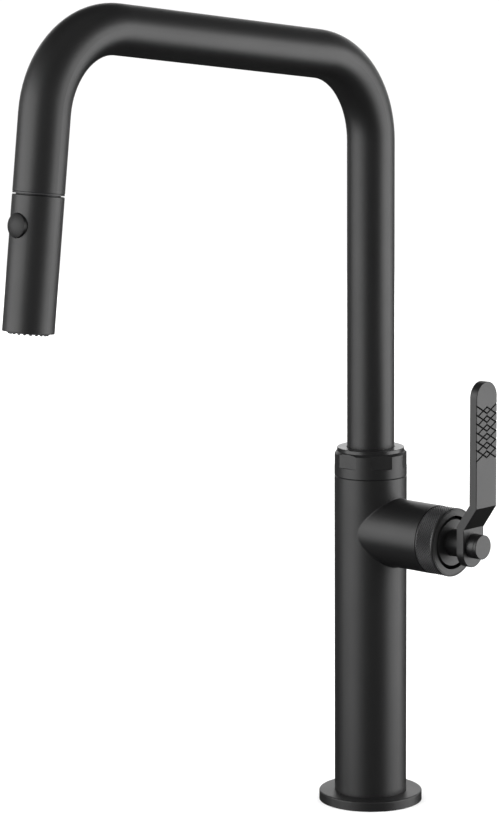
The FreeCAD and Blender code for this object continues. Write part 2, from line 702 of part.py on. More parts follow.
def valve_core():
    """Plastic waterway inside the head, bored across for the diverter spool."""
    top = CORE_TOP_U
    low = CORE_FOOT_U
    shape = ring(0, CORE_R, top, low)
    inlet = ring(0, NIPPLE_R + 0.85, top - 1, NIPPLE_END_U + CLEAR)
    channel = ring(0, CHANNEL_R, top, low + 1)
    check_seat = ring(0, CHECK_R + FIT, CHECK_U, low + 1)
    chamber = ring(0, CHAMBER_R, low - CHAMBER_H, low + 1)
    pocket = button_bar(BUTTON_R + CLEAR, POCKET_FLOOR, HEAD_R)
    spool_bore = button_bar(SPOOL_R + RUN, SPOOL_END - BUTTON_TRAVEL - 0.6, HEAD_R)
    for tool in (inlet, channel, check_seat, chamber, pocket, spool_bore):
        shape = shape.cut(tool)
    return on_leg(as_single(shape))


def check_valve():
    return on_leg(ring(CHANNEL_R - 0.2, CHECK_R, CHECK_U, CHECK_U + CHECK_LENGTH))


def core_gasket():
    return on_leg(ring(CHAMBER_R + 0.2, CORE_R, CORE_FOOT_U, DIFFUSER_U))


def diffuser():
    """Plastic body that feeds the aerator in the middle and the ring of jets round it."""
    shape = ring(AERATOR_R + FIT, CORE_R, DIFFUSER_U, PLATE_U)
    channel = ring(AERATOR_R + DIFFUSER_WALL, HEAD_BORE_R - DIFFUSER_WALL, PLATE_U - 6.0, PLATE_U + 1)
    return on_leg(shape.cut(channel))


def aerator():
    """Insert in the middle of the diffuser, with one hole in its middle and six round it."""
    top = DIFFUSER_U + 1.5
    low = PAD_U + 0.6
    shape = ring(0, AERATOR_R, top, low)
    for place in [Vector(0, 0, top)] + on_circle(6, AERATOR_HOLE_CIRCLE_R, top):
        shape = shape.cut(rod(AERATOR_HOLE_R, place, Z_AXIS, low - top))
    return on_leg(shape)


def spray_plate():
    """Plate behind the rubber pad, drilled for each jet."""
    shape = ring(AERATOR_R + FIT, CORE_R, PLATE_U, PAD_U)
    for place in on_circle(NUB_COUNT, NUB_CIRCLE_R, PLATE_U):
        shape = shape.cut(rod(NUB_R / 2, place, Z_AXIS, PLATE_THICKNESS))
    return on_leg(shape)


def nozzle_pad():
    """Rubber pad with a ring of round-ended jets that stand proud of the rim."""
    bore_r = AERATOR_R + 4 * FIT
    tip = HEAD_LENGTH + NUB_HEIGHT
    shape = ring(bore_r, CORE_R, PAD_U, HEAD_LENGTH - PAD_SUNK)
    shape = shape.fuse(ring(bore_r, PAD_LIP_R, PAD_U, HEAD_LENGTH + PAD_LIP_H))
    jet = softened(ring(0, NUB_R, PAD_U, tip), NUB_R * 0.6, circle_at(NUB_R, tip))
    for place in on_circle(NUB_COUNT, NUB_CIRCLE_R, 0):
        shape = shape.fuse(jet.translated(place))
    for place in on_circle(NUB_COUNT, NUB_CIRCLE_R, PAD_U):
        shape = shape.cut(rod(JET_R, place, Z_AXIS, tip - PAD_U))
    return on_leg(as_single(shape))


def diverter_button():
    """Domed push button with the spool that it carries, as one moulding."""
    crown = HEAD_R + BUTTON_PROUD
    edge_y = HEAD_R + BUTTON_RIM_PROUD
    rise = crown - edge_y
    dome_r = (BUTTON_R ** 2 + rise ** 2) / (2 * rise)
    cap = button_bar(BUTTON_R, BUTTON_FLOOR, crown + 1)
    ball = Part.makeSphere(dome_r, Vector(0, crown - dome_r, BUTTON_DROP))
    cap = cap.common(ball.fuse(button_bar(BUTTON_R + 1, BUTTON_FLOOR - 1, edge_y)))
    spool = button_bar(SPOOL_R, SPOOL_END, BUTTON_FLOOR)
    return on_leg(as_single(cap.fuse(spool)))


def button_spring():
    """Coil between the pocket's floor and the button, drawn as closed turns."""
    coil_r = SPOOL_R + 1.3
    low = POCKET_FLOOR + SPRING_WIRE_R + FIT
    high = BUTTON_FLOOR - SPRING_WIRE_R - FIT
    turns = []
    for index in range(SPRING_TURNS):
        place = Vector(0, low + (high - low) * index / (SPRING_TURNS - 1), BUTTON_DROP)
        turns.append(Part.makeTorus(coil_r, SPRING_WIRE_R, place, Y_AXIS))
    return on_leg(Part.makeCompound(turns))


# ---------------------------------------------------------------- side valve
def knurled_ring():
    """Grip band let into the boss behind the bezel."""
    return on_valve(ring(VALVE_R - KNURL_WALL, VALVE_R, KNURL_LOW_X, BOSS_END_X))


def valve_bezel():
    """Face ring with a threaded skirt in the boss and a fine groove near its rim."""
    face = VALVE_FACE_X
    skirt_foot = face - BEZEL_SKIRT
    skirt_bore_r = VALVE_BORE_R - 1.0
    shape = lathe([
        (BEZEL_OPENING_R, face - 1.6), (skirt_bore_r, face - 2.6), (skirt_bore_r, skirt_foot),
        (VALVE_BORE_R - FIT, skirt_foot), (VALVE_BORE_R - FIT, BOSS_END_X), (VALVE_R, BOSS_END_X),
        (VALVE_R, face - BEZEL_CHAMFER), (VALVE_R - BEZEL_CHAMFER, face), (BEZEL_OPENING_R, face),
    ])
    groove = ring(BEZEL_GROOVE_R, BEZEL_GROOVE_R + BEZEL_GROOVE, face - BEZEL_GROOVE, face + 1)
    return on_valve(shape.cut(groove))


def valve_seals():
    """Washer round each water port, between the body and the cartridge."""
    seals = []
    for y, z in port_points():
        place = Vector(VALVE_SEAT_X, y, z)
        seals.append(rod(PORT_R + 1.4, place, X_AXIS, SEAL_H).cut(rod(PORT_R, place, X_AXIS, SEAL_H)))
    return Part.makeCompound(seals)


def cartridge_housing():
    base = VALVE_SEAT_X + SEAL_H
    shape = lathe([
        (0, base), (CARTRIDGE_R, base), (CARTRIDGE_R, NUT_LOW_X), (CAVITY_R, NUT_LOW_X),
        (CAVITY_R, FIXED_DISC_X), (0, FIXED_DISC_X),
    ])
    shape = on_valve(shape)
    for y, z in port_points():
        shape = shape.cut(rod(PORT_R, Vector(VALVE_SEAT_X, y, z), X_AXIS, FIXED_DISC_X))
    return shape


def fixed_disc():
    """Ceramic disc with the three water ports."""
    shape = on_valve(ring(0, CAVITY_R - FIT, FIXED_DISC_X, FIXED_DISC_X + DISC_THICKNESS))
    for y, z in port_points():
        shape = shape.cut(rod(PORT_R, Vector(FIXED_DISC_X - 1, y, z), X_AXIS, DISC_THICKNESS + 2))
    return shape


def moving_disc():
    """Ceramic disc whose underside channel joins the ports as it slides and turns."""
    low = FIXED_DISC_X + DISC_THICKNESS
    shape = ring(0, DISC_R, low, low + DISC_THICKNESS)
    shape = shape.cut(ring(0, DISC_HOLLOW_R, low - 1, low + 1.4))
    shape = on_valve(shape)
    shape.translate(Vector(0, 0, DISC_REST_OFFSET))
    return shape


def disc_carrier():
    """Slider clipped to the moving disc, with the slot that the lever's ball moves in."""
    top = CARRIER_X + CARRIER_H
    mid = VALVE_Z + DISC_REST_OFFSET
    base = on_valve(ring(0, DISC_R, CARRIER_X, top))
    base.translate(Vector(0, 0, DISC_REST_OFFSET))
    slider = block(top, SLIDER_END_X, -SLIDER_Y, SLIDER_Y, mid - SLIDER_Z, mid + SLIDER_Z)
    gap = DRIVE_BALL_R + CLEAR
    slot = block(BALL_X - gap, BALL_X + 5, -gap, gap, VALVE_Z - gap, VALVE_Z + gap)
    return as_single(base.fuse(slider).cut(slot))


def cartridge_rotor():
    """Turning guide for the slider, with a fork that holds the lever's pin."""
    low = CARRIER_X + CARRIER_H + CLEAR
    shoulder = NUT_LOW_X - RUN
    neck_top = NUT_LOW_X + CARTRIDGE_NUT_H + 0.2
    rim_r = CAVITY_R - CLEAR
    body = on_valve(lathe([
        (0, low), (rim_r, low), (rim_r, shoulder), (ROTOR_NECK_R, shoulder), (ROTOR_NECK_R, neck_top),
        (0, neck_top),
    ]))
    ear_in = DRIVE_BAR_HALF + CLEAR
    for side in (-1, 1):
        y0, y1 = sorted((side * ear_in, side * PIN_HALF))
        ear = block(neck_top - 1, PIVOT_X + EAR_HALF, y0, y1, VALVE_Z - EAR_HALF, VALVE_Z + EAR_HALF)
        body = body.fuse(ear)
    reach = SLIDER_Z + abs(DISC_REST_OFFSET) + CLEAR
    window = block(low - 1, SLIDER_END_X + CLEAR, -SLIDER_Y - CLEAR, SLIDER_Y + CLEAR,
                   VALVE_Z - reach, VALVE_Z + reach)
    bar_slot = block(low - 1, PIVOT_X + 5, -ear_in, ear_in, VALVE_Z - PIN_HALF, VALVE_Z + PIN_HALF)
    pin_hole = rod(PIN_R, Vector(PIVOT_X, -PIN_HALF - 1, VALVE_Z), Y_AXIS, 2 * PIN_HALF + 2)
    for tool in (window, bar_slot, pin_hole):
        body = body.cut(tool)
    return as_single(body)


def pivot_pin():
    return rod(PIN_R, Vector(PIVOT_X, -PIN_HALF, VALVE_Z), Y_AXIS, 2 * PIN_HALF)


def cartridge_nut():
    """Threaded ring that clamps the cartridge, with two spanner notches."""
    low = NUT_LOW_X
    top = low + CARTRIDGE_NUT_H
    shape = on_valve(ring(ROTOR_NECK_R + CLEAR, VALVE_BORE_R - FIT, low, top))
    for side in (-1, 1):
        y0, y1 = sorted((side * (ROTOR_NECK_R + 0.9), side * VALVE_R))
        shape = shape.cut(block(low + 1.5, top, y0, y1, VALVE_Z - 1.6, VALVE_Z + 1.6))
    return shape


# ---------------------------------------------------------------- lever
def drive_bar():
    """Steel bar through the pivot: a ball at its inner end, the hub on its outer end."""
    low = BALL_X + DRIVE_BALL_R + 0.7
    half = DRIVE_BAR_HALF
    centre = Vector(BALL_X, 0, VALVE_Z)
    bar = block(low, HUB_BAR_END, -half, half, VALVE_Z - half, VALVE_Z + half)
    bar = bar.common(rod(DRIVE_BALL_R + 1.0, centre, X_AXIS, HUB_BAR_END - BALL_X))
    neck = rod(DRIVE_NECK_R, centre, X_AXIS, low - BALL_X + 1.0)
    shape = bar.fuse(neck).fuse(Part.makeSphere(DRIVE_BALL_R, centre))
    hole = rod(PIN_R + 0.05, Vector(PIVOT_X, -PIN_HALF, VALVE_Z), Y_AXIS, 2 * PIN_HALF)
    return as_single(shape.cut(hole))


def lever_hub():
    """Flat-fronted cover, round about the pivot, with the stem that carries the lever plate."""
    face = PIVOT_DEPTH - HUB_FACE_SUNK
    back = face - HUB_WALL
    rim = HUB_R * math.cos(math.radians(HUB_RIM_ANGLE))
    outer = Part.makeSphere(HUB_R, ORIGIN).common(ring(0, HUB_R, rim, face))
    inner = Part.makeSphere(HUB_R - HUB_WALL, ORIGIN).common(ring(0, HUB_R, 0, back))
    cover = outer.cut(inner)
    plate_in = LEVER_LOW_X - LEVER_THICKNESS - PIVOT_X
    stem = ring(0, STEM_R, back, plate_in)
    spigot = ring(0, SPIGOT_R, plate_in, plate_in + LEVER_THICKNESS + CAP_LENGTH - CAP_FLOOR)
    shape = on_valve(cover.fuse(stem).fuse(spigot).removeSplitter())
    shape.translate(X_AXIS * PIVOT_X)
    socket = rod(DRIVE_BALL_R + 1.0, Vector(PIVOT_X, 0, VALVE_Z), X_AXIS, HUB_BAR_END - PIVOT_X)
    return as_single(shape.cut(socket))


def lever_side():
    """Outline of the bent lever in the X-Z plane, as a face at Y = 0."""
    low_out = Vector(LEVER_LOW_X, 0, CRANK_LOW_Z)
    high_out = Vector(LEVER_HIGH_X, 0, CRANK_HIGH_Z)
    lean = math.atan2(LEVER_HIGH_X - LEVER_LOW_X, CRANK_HIGH_Z - CRANK_LOW_Z)
    step = LEVER_THICKNESS * math.tan(lean / 2)
    low_in = low_out + Vector(-LEVER_THICKNESS, 0, step)
    high_in = high_out + Vector(-LEVER_THICKNESS, 0, step)
    return Part.Face(Part.makePolygon([
        Vector(LEVER_LOW_X, 0, LEVER_BOTTOM_Z), low_out, high_out, Vector(LEVER_HIGH_X, 0, LEVER_TOP_Z),
        Vector(LEVER_HIGH_X - LEVER_THICKNESS, 0, LEVER_TOP_Z), high_in, low_in,
        Vector(LEVER_LOW_X - LEVER_THICKNESS, 0, LEVER_BOTTOM_Z),
        Vector(LEVER_LOW_X, 0, LEVER_BOTTOM_Z),
    ]))


def diamond_grooves():
    """Cutters for rising and falling chevrons that cross to leave a row of diamonds up the blade."""
    face_x = LEVER_HIGH_X - GROOVE_DEPTH
    edge_y = LEVER_WIDTH / 2
    slope = DIAMOND_PITCH / edge_y
    meet_y = (DIAMOND_PITCH + DIAMOND_HEIGHT) / (2 * slope)
    cutters = []
    for index in range(DIAMOND_COUNT):
        low = DIAMOND_LOW_Z + DIAMOND_PITCH * index
        high = low + DIAMOND_HEIGHT
        foot_y = edge_y if index == 0 else min(meet_y, edge_y)
        for side in (-1, 1):
            rising_end = Vector(face_x, side * edge_y, low + slope * edge_y)
            falling_end = Vector(face_x, side * foot_y, high - slope * foot_y)
            cutters.append(groove_bar(Vector(face_x, 0, low), rising_end))
            cutters.append(groove_bar(Vector(face_x, 0, high), falling_end))
    return cutters


def groove_bar(start, end):
    """Square bar along a line on the blade's face, standing out of it."""
    along = end - start
    length = along.Length
    bar = Part.makeBox(GROOVE_DEPTH + 1, GROOVE_WIDTH, length + GROOVE_WIDTH,
                       Vector(0, -GROOVE_WIDTH / 2, -GROOVE_WIDTH / 2))
    direction = along.normalize()
    bar.Placement = Placement(start, Rotation(X_AXIS, direction.cross(X_AXIS), direction, "ZXY"))
    return bar


def lever_blade():
    """Cranked plate with round ends, bored for the spigot and grooved on its upper face."""
    side = lever_side().extrude(Vector(0, LEVER_WIDTH, 0))
    side.translate(Vector(0, -LEVER_WIDTH / 2, 0))
    end_r = LEVER_WIDTH / 2
    low_x = LEVER_LOW_X - LEVER_THICKNESS
    span = LEVER_HIGH_X - low_x
    outline = block(low_x, LEVER_HIGH_X, -end_r, end_r, LEVER_BOTTOM_Z + end_r, LEVER_TOP_Z - end_r)
    for height in (LEVER_BOTTOM_Z + end_r, LEVER_TOP_Z - end_r):
        outline = outline.fuse(rod(end_r, Vector(low_x, 0, height), X_AXIS, span))
    shape = as_single(side.common(outline.removeSplitter()))
    shape = shape.cut(rod(SPIGOT_R, Vector(low_x, 0, VALVE_Z), X_AXIS, span))
    faces_x = (LEVER_LOW_X, LEVER_HIGH_X)
    edges = []
    for edge in shape.Edges:
        box = edge.BoundBox
        flat = box.XMax - box.XMin < 0.01 and any(abs(box.XMax - x) < 0.01 for x in faces_x)
        if flat and box.ZMax - box.ZMin > 2 * SPIGOT_R + 0.1:
            edges.append(edge)
    shape = shape.makeChamfer(LEVER_CHAMFER, edges)
    for cutter in diamond_grooves():
        shape = shape.cut(cutter)
    return as_single(shape)


def lever_cap():
    """Round cap on the spigot, outside the lever plate."""
    low = LEVER_LOW_X
    shape = ring(0, CAP_R, low, low + CAP_LENGTH)
    shape = softened(shape, 0.4, circle_at(CAP_R, low + CAP_LENGTH))
    floor = low + CAP_LENGTH - CAP_FLOOR
    shape = shape.cut(ring(0, SPIGOT_R, low - 1, floor))
    groove = ring(CAP_R - 0.25, CAP_R + 1, floor + 0.1, floor + 0.5)
    return on_valve(shape.cut(groove))


def cap_grub_screw():
    """Small set screw up through the cap's underside into the spigot."""
    start = Vector(GRUB_X, 0, VALVE_Z - CAP_R + 0.5)
    shape = rod(GRUB_R, start, Z_AXIS, CAP_R - 2.5)
    return shape.cut(rod(GRUB_R / 2, start, Z_AXIS, GRUB_R))


def bored_for_screw(shape):
    """The shape with the grub screw's hole from below."""
    start = Vector(GRUB_X, 0, VALVE_Z - CAP_R - 1.0)
    return shape.cut(rod(GRUB_R, start, Z_AXIS, CAP_R - 1.0))


# ---------------------------------------------------------------- the parts
PARTS = {
    "base_flange": base_flange(),
    "deck_gasket": deck_gasket(),
    "body_shell": body_shell(),
    "mounting_shank": mounting_shank(),
    "rubber_washer": washer(-DECK_GRIP),
    "steel_washer": washer(-DECK_GRIP - WASHER_H),
    "mounting_nut": mounting_nut(),
    "clamp_screws": clamp_screws(),
    "waterway_block": waterway_block(),
    "collar": collar(),
    "trim_ring": trim_ring(),
    "upper_glide_ring": upper_glide(),
    "lower_glide_ring": lower_glide(),
    "knurled_ring": knurled_ring(),
    "valve_bezel": valve_bezel(),
    "valve_seals": valve_seals(),
    "cartridge_housing": cartridge_housing(),
    "fixed_ceramic_disc": fixed_disc(),
    "cartridge_nut": cartridge_nut(),
    "cartridge_rotor": cartridge_rotor(),
    "pivot_pin": pivot_pin(),
    "moving_ceramic_disc": moving_disc(),
    "disc_carrier": disc_carrier(),
    "drive_bar": drive_bar(),
    "lever_hub": bored_for_screw(lever_hub()),
    "lever_blade": lever_blade(),
    "lever_cap": bored_for_screw(lever_cap()),
    "cap_grub_screw": cap_grub_screw(),
    "spout_tube": spout_tube(),
    "spout_journal": spout_journal(),
    "journal_rings": journal_rings(),
    "hose_guide": hose_guide(),
    "dock_bush": dock_bush(),
    "dock_magnet": dock_magnet(),
    "spray_hose": spray_hose(),
    "hose_ferrule": hose_ferrule(),
    "hose_nipple": hose_nipple(),
    "nipple_ring": nipple_ring(),
    "head_shell": head_shell(),
    "docking_nose": docking_nose(),
    "nose_magnet_plate": nose_magnet_plate(),
    "union_nut": union_nut(),
    "valve_core": valve_core(),
    "check_valve": check_valve(),
    "core_gasket": core_gasket(),
    "diffuser": diffuser(),
    "aerator": aerator(),
    "spray_plate": spray_plate(),
    "nozzle_pad": nozzle_pad(),
    "diverter_button": diverter_button(),
    "button_spring": button_spring(),
}

os.makedirs("parts", exist_ok=True)
for name, shape in PARTS.items():
    if not shape.isValid():
        print("not valid:", name)
    shape.exportStep("parts/" + name + ".step")
    print(name, len(shape.Solids), round(shape.Volume, 1))
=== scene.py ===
"""Pull-down kitchen faucet: finishes, knurled ring, braided hose and studio around the CAD frame.

The object's frame is the CAD frame in metres: origin on the deck under the flange's centre, +Z up,
the spout towards -Y and the lever on the +X side.
"""
import json
import math

import bpy
from bpy.props import FloatProperty, FloatVectorProperty, IntProperty, PointerProperty
from bpy.types import Operator, Panel, PropertyGroup
from mathutils import Matrix, Vector

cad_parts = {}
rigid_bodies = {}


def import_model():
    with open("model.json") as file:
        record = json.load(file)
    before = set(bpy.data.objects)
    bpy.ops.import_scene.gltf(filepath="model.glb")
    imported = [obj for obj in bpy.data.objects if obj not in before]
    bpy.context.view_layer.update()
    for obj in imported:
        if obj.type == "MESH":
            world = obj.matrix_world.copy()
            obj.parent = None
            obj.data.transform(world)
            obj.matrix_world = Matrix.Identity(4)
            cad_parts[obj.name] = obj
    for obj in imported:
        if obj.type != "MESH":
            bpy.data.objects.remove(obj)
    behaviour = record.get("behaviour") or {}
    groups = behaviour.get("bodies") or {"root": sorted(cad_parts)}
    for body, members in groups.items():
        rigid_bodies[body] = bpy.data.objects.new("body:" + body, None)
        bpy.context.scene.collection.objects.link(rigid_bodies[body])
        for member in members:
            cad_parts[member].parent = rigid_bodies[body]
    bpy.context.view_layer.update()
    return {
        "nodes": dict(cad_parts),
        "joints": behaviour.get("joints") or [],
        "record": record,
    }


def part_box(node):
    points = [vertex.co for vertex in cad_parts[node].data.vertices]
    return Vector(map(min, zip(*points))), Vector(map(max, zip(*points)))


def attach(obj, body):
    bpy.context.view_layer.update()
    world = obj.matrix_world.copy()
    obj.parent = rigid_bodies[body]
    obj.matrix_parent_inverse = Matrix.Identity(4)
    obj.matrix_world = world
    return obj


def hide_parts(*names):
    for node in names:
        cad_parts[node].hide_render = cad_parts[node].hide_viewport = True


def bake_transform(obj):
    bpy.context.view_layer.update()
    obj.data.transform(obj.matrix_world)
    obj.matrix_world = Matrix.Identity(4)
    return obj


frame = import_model()

bl_info = {
    "name": "Pull-down kitchen faucet",
    "version": (1, 0, 0),
    "blender": (4, 5, 0),
    "location": "View3D > Sidebar > Faucet",
    "description": "Finishes, a knurled ring, a braided hose and a studio for the faucet's CAD frame",
    "category": "Object",
}

X_AXIS = Vector((1.0, 0.0, 0.0))
Y_AXIS = Vector((0.0, 1.0, 0.0))
Z_AXIS = Vector((0.0, 0.0, 1.0))


def joint_named(name):
    """The frame's joint of that name."""
    for joint in frame["joints"]:
        if joint["name"] == name:
            return joint
    raise RuntimeError(f"the frame has no joint named {name}")


LEG = Vector(joint_named("hose_pull")["axis"]).normalized()
HEAD_JOINT = Vector(joint_named("head_turn")["pos_m"])
VALVE_PIVOT = Vector(joint_named("temperature_turn")["pos_m"])
RING_LOW, RING_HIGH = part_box("knurled_ring")
KNURL_BORDER = 0.0004      # plain band at each end of the knurl
KNURL_RING_WALL = 0.9      # the ring's bore as a share of its outside
LEVER_GROOVE = 0.00045     # depth of the lever's grooves
# near-black colour of the lever's groove floors: painted shade in the grooves
GROOVE_PAINTED_SHADE = (0.0005, 0.0005, 0.0005, 1.0)
FACING_OUT = 0.9           # least X of the normal on a groove's floor
HOSE_TOP = -0.036          # from the head's joint: where the drawn hose starts, inside the leg
HOSE_FOOT = -0.012         # and where it enters the ferrule
HOSE_SIDES = 40
HOSE_RINGS = 48
HOSE_BORE = 0.62           # bore as a share of the outside
HOSE_MOUTH = 0.006         # depth of the open bore at the hose's foot
COLUMN_TOP = 0.360         # the spout's centre line: where the first bend starts
BEND_1_R = 0.048
BEND_2_R = 0.044
ARM_LENGTH = 0.146
ARM_RISE = math.radians(7.0)
BEND_STEPS = 20
HOSE_SLOT = "hose_sheath"  # its CAD node is replaced by the two woven lengths
TOUCHING = 1e-6            # points nearer than this are one point
ROW_MATCH = 0.1            # how far off a knurl row a point may lie, in rows
MIX_FIRST = 6              # the colour sockets of a mix node
MIX_SECOND = 7
MIX_RESULT = 2


# ---------------------------------------------------------------- settings
class FaucetFinish(PropertyGroup):
    coat_colour: FloatVectorProperty(
        name="Coat colour", description="Satin black of the tube, body and head", subtype="COLOR",
        size=3, min=0.0, max=1.0, default=(0.0037, 0.0037, 0.0039))
    coat_roughness: FloatProperty(
        name="Coat roughness", description="How satin the black coat is", subtype="FACTOR",
        min=0.05, max=1.0, default=0.46)
    brass_colour: FloatVectorProperty(
        name="Brass colour", description="Machined brass of the shank, nut and waterway", subtype="COLOR",
        size=3, min=0.0, max=1.0, default=(0.72, 0.52, 0.25))
    hose_colour: FloatVectorProperty(
        name="Hose colour", description="Braided nylon sheath of the spray hose", subtype="COLOR",
        size=3, min=0.0, max=1.0, default=(0.030, 0.030, 0.033))


class FaucetKnurl(PropertyGroup):
    count: IntProperty(
        name="Diamonds round the ring", description="Number of knurl diamonds in one row",
        min=24, max=240, default=76)
    rows: IntProperty(
        name="Rows", description="Rows of knurl points along the ring", min=3, max=60, default=14)
    depth: FloatProperty(
        name="Knurl depth", description="Height of a diamond's point over its grooves",
        subtype="DISTANCE", unit="LENGTH", min=0.0, max=0.001, default=0.00040)


class FaucetHose(PropertyGroup):
    diameter: FloatProperty(
        name="Hose diameter", description="Outside diameter of the braided sheath",
        subtype="DISTANCE", unit="LENGTH", min=0.005, max=0.02, default=0.0116)
    strands: IntProperty(
        name="Strands", description="Strands that wind each way round the hose", min=6, max=48, default=16)
    lay: FloatProperty(
        name="Lay", description="Length along the hose for one turn of a strand",
        subtype="DISTANCE", unit="LENGTH", min=0.01, max=0.2, default=0.036)


class FaucetStudio(PropertyGroup):
    lens: FloatProperty(
        name="Lens", description="Camera's focal length in millimetres", subtype="DISTANCE_CAMERA",
        unit="CAMERA", min=20.0, max=400.0, default=145.69)
    distance: FloatProperty(
        name="Camera distance", description="Camera's distance from the column's axis",
        subtype="DISTANCE", unit="LENGTH", min=0.5, max=10.0, default=1.7527)
    height: FloatProperty(
        name="Camera height", description="Camera's height over the deck",
        subtype="DISTANCE", unit="LENGTH", min=0.0, max=5.0, default=0.4992)
    left_light: FloatProperty(
        name="Left light", description="Power of the left softbox in watts", min=0.0, default=37.0)
    right_light: FloatProperty(
        name="Right light", description="Power of the right softbox in watts", min=0.0, default=34.0)
    top_light: FloatProperty(
        name="Top light", description="Power of the overhead softbox in watts", min=0.0, default=1.5)
    back_light: FloatProperty(
        name="Back light", description="Power of the softbox behind the faucet in watts",
        min=0.0, default=17.0)
    room_light: FloatProperty(
        name="Room light", description="Strength of the light from the room", min=0.0, default=1.15)
    room_shine: FloatProperty(
        name="Room shine", description="Strength of the room in reflections", min=0.0, default=0.38)


# ---------------------------------------------------------------- node helpers
def add_node(tree, kind, **settings):
    """A node of one kind with its settings; number keys in inputs set input sockets."""
    made = tree.nodes.new(kind)
    for socket, value in settings.pop("inputs", {}).items():
        made.inputs[socket].default_value = value
    for key, value in settings.items():
        setattr(made, key, value)
    return made


def wire(tree, source, output, target, socket):
    """Link an output of one node to an input of another."""
    tree.links.new(source.outputs[output], target.inputs[socket])


def new_group(name, inputs, outputs):
    """An empty shader node group with named sockets, its input node and its output node."""
    tree = bpy.data.node_groups.new(name, "ShaderNodeTree")
    for label, kind, value in inputs:
        socket = tree.interface.new_socket(name=label, in_out="INPUT", socket_type=kind)
        socket.default_value = value
    for label, kind in outputs:
        tree.interface.new_socket(name=label, in_out="OUTPUT", socket_type=kind)
    return tree, add_node(tree, "NodeGroupInput"), add_node(tree, "NodeGroupOutput")


def group_node(tree, group, **values):
    """A node in tree that runs the group with these input values."""
    made = add_node(tree, "ShaderNodeGroup", node_tree=group)
    for label, value in values.items():
        made.inputs[label.replace("_", " ")].default_value = value
    return made


def mixed(tree, blend_type="MIX"):
    """A colour mix node."""
    return add_node(tree, "ShaderNodeMix", data_type="RGBA", blend_type=blend_type)


def grain_group():
    """Fine grain and slow cloudiness of a sprayed or moulded surface."""
    tree, given, out = new_group(
        "surface_grain",
        [("Grain scale", "NodeSocketFloat", 1400.0), ("Cloud scale", "NodeSocketFloat", 22.0),
         ("Dark", "NodeSocketColor", (0.01, 0.01, 0.01, 1)),
         ("Light", "NodeSocketColor", (0.02, 0.02, 0.02, 1)),
         ("Low roughness", "NodeSocketFloat", 0.3), ("High roughness", "NodeSocketFloat", 0.4),
         ("Relief", "NodeSocketFloat", 0.3)],
        [("Color", "NodeSocketColor"), ("Roughness", "NodeSocketFloat"), ("Normal", "NodeSocketVector")])
    place = add_node(tree, "ShaderNodeTexCoord")
    fine = add_node(tree, "ShaderNodeTexNoise", inputs={"Detail": 3.0, "Roughness": 0.55})
    slow = add_node(tree, "ShaderNodeTexNoise", inputs={"Detail": 4.0, "Roughness": 0.6})
    wire(tree, place, "Object", fine, "Vector")
    wire(tree, place, "Object", slow, "Vector")
    wire(tree, given, "Grain scale", fine, "Scale")
    wire(tree, given, "Cloud scale", slow, "Scale")
    blend = add_node(tree, "ShaderNodeMath", operation="MULTIPLY_ADD", inputs={1: 0.35})
    ease = add_node(tree, "ShaderNodeMath", operation="MULTIPLY", inputs={1: 0.65})
    wire(tree, slow, "Fac", ease, 0)
    wire(tree, fine, "Fac", blend, 0)
    wire(tree, ease, 0, blend, 2)
    colour = mixed(tree)
    wire(tree, blend, 0, colour, "Factor")
    tree.links.new(given.outputs["Dark"], colour.inputs[MIX_FIRST])
    tree.links.new(given.outputs["Light"], colour.inputs[MIX_SECOND])
    rough = add_node(tree, "ShaderNodeMapRange")
    wire(tree, blend, 0, rough, "Value")
    rough.inputs["From Min"].default_value = 0.3
    rough.inputs["From Max"].default_value = 0.7
    wire(tree, given, "Low roughness", rough, "To Min")
    wire(tree, given, "High roughness", rough, "To Max")
    bump = add_node(tree, "ShaderNodeBump", inputs={"Distance": 0.00003})
    wire(tree, fine, "Fac", bump, "Height")
    wire(tree, given, "Relief", bump, "Strength")
    tree.links.new(colour.outputs[MIX_RESULT], out.inputs["Color"])
    wire(tree, rough, "Result", out, "Roughness")
    wire(tree, bump, "Normal", out, "Normal")
    return tree


def edge_group():
    """Mask of the edges that hands and cloths rub, broken up by noise; on the knurl it carries a painted
    highlight on the diamonds' edges.
    """
    tree, given, out = new_group(
        "rubbed_and_highlit_edges",
        [("Reach", "NodeSocketFloat", 0.0004), ("Amount", "NodeSocketFloat", 0.5)],
        [("Mask", "NodeSocketFloat")])
    place = add_node(tree, "ShaderNodeTexCoord")
    shape = add_node(tree, "ShaderNodeNewGeometry")
    rounded = add_node(tree, "ShaderNodeBevel", samples=4)
    wire(tree, given, "Reach", rounded, "Radius")
    turn = add_node(tree, "ShaderNodeVectorMath", operation="DOT_PRODUCT")
    wire(tree, rounded, "Normal", turn, 0)
    wire(tree, shape, "Normal", turn, 1)
    edge = add_node(tree, "ShaderNodeMapRange", inputs={"From Min": 0.995, "From Max": 0.85})
    wire(tree, turn, "Value", edge, "Value")
    worn = add_node(tree, "ShaderNodeTexNoise", inputs={"Scale": 260.0, "Detail": 5.0})
    wire(tree, place, "Object", worn, "Vector")
    patchy = add_node(tree, "ShaderNodeMapRange", inputs={"From Min": 0.35, "From Max": 0.65})
    wire(tree, worn, "Fac", patchy, "Value")
    both = add_node(tree, "ShaderNodeMath", operation="MULTIPLY")
    wire(tree, edge, "Result", both, 0)
    wire(tree, patchy, "Result", both, 1)
    scaled = add_node(tree, "ShaderNodeMath", operation="MULTIPLY")
    wire(tree, both, 0, scaled, 0)
    wire(tree, given, "Amount", scaled, 1)
    wire(tree, scaled, 0, out, "Mask")
    return tree


def new_material(name):
    """A node material with its Principled shader."""
    material = bpy.data.materials.new(name)
    material.use_nodes = True
    tree = material.node_tree
    return material, tree, tree.nodes["Principled BSDF"]


def shade(rgb, factor):
    """A colour made lighter or darker."""
    return (rgb[0] * factor, rgb[1] * factor, rgb[2] * factor, 1.0)


